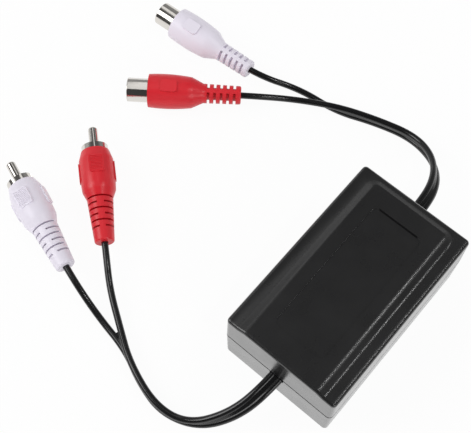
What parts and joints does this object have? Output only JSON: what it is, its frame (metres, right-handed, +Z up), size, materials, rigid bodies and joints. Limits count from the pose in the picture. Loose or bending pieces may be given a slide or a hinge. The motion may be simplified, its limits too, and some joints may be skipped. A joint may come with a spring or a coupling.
{
  "type": "ground loop isolator",
  "caption": "Stereo audio ground loop isolator: flat black plastic box with a raised roof panel, twin leads to white and red phono plugs at one end and to white and red phono jacks at the other",
  "frame": {"origin": "centre of the box's bottom face", "axes": "+X along the box towards the end whose leads carry the jacks, +Z up out of the roof, -X end carries the plugs"},
  "size_m": [0.127, 0.1364, 0.0303],
  "materials": {
    "case": "fine satin",
    "screw_steel": "zinc plated",
    "board": "satin solder mask",
    "core_steel": "stacked plates",
    "bobbin": "satin",
    "copper": "enamelled copper wire",
    "tape": "gloss",
    "bracket_steel": "plated",
    "tinned": "tinned copper",
    "jacket": "semi-gloss",
    "white_moulding": "semi-gloss",
    "red_moulding": "semi-gloss",
    "nickel": "bright nickel plate",
    "insulator": "satin",
    "tie": "satin nylon"
  },
  "bodies": {
    "root": {"upper_shell": "case", "lower_shell": "case", "case_screws": "screw_steel", "board_screws": "screw_steel", "circuit_board": "board", "white_e_laminations": "core_steel", "white_i_laminations": "core_steel", "white_bobbin": "bobbin", "white_winding": "copper", "white_winding_tape": "tape", "white_core_bracket": "bracket_steel", "white_terminals": "tinned", "white_plug_end_wires": "tinned", "white_plug_lead": "jacket", "white_jack_end_wires": "tinned", "white_jack_lead": "jacket", "white_plug_body": "white_moulding", "white_jack_body": "white_moulding", "white_plug_collar": "nickel", "white_plug_pin": "nickel", "white_plug_insulator": "insulator", "white_jack_barrel": "nickel", "white_jack_contact": "nickel", "white_jack_insulator": "insulator", "red_e_laminations": "core_steel", "red_i_laminations": "core_steel", "red_bobbin": "bobbin", "red_winding": "copper", "red_winding_tape": "tape", "red_core_bracket": "bracket_steel", "red_terminals": "tinned", "red_plug_end_wires": "tinned", "red_plug_lead": "jacket", "red_jack_end_wires": "tinned", "red_jack_lead": "jacket", "red_plug_body": "red_moulding", "red_jack_body": "red_moulding", "red_plug_collar": "nickel", "red_plug_pin": "nickel", "red_plug_insulator": "insulator", "red_jack_barrel": "nickel", "red_jack_contact": "nickel", "red_jack_insulator": "insulator", "plug_end_tie": "tie", "jack_end_tie": "tie"}
  },
  "joints": []
}
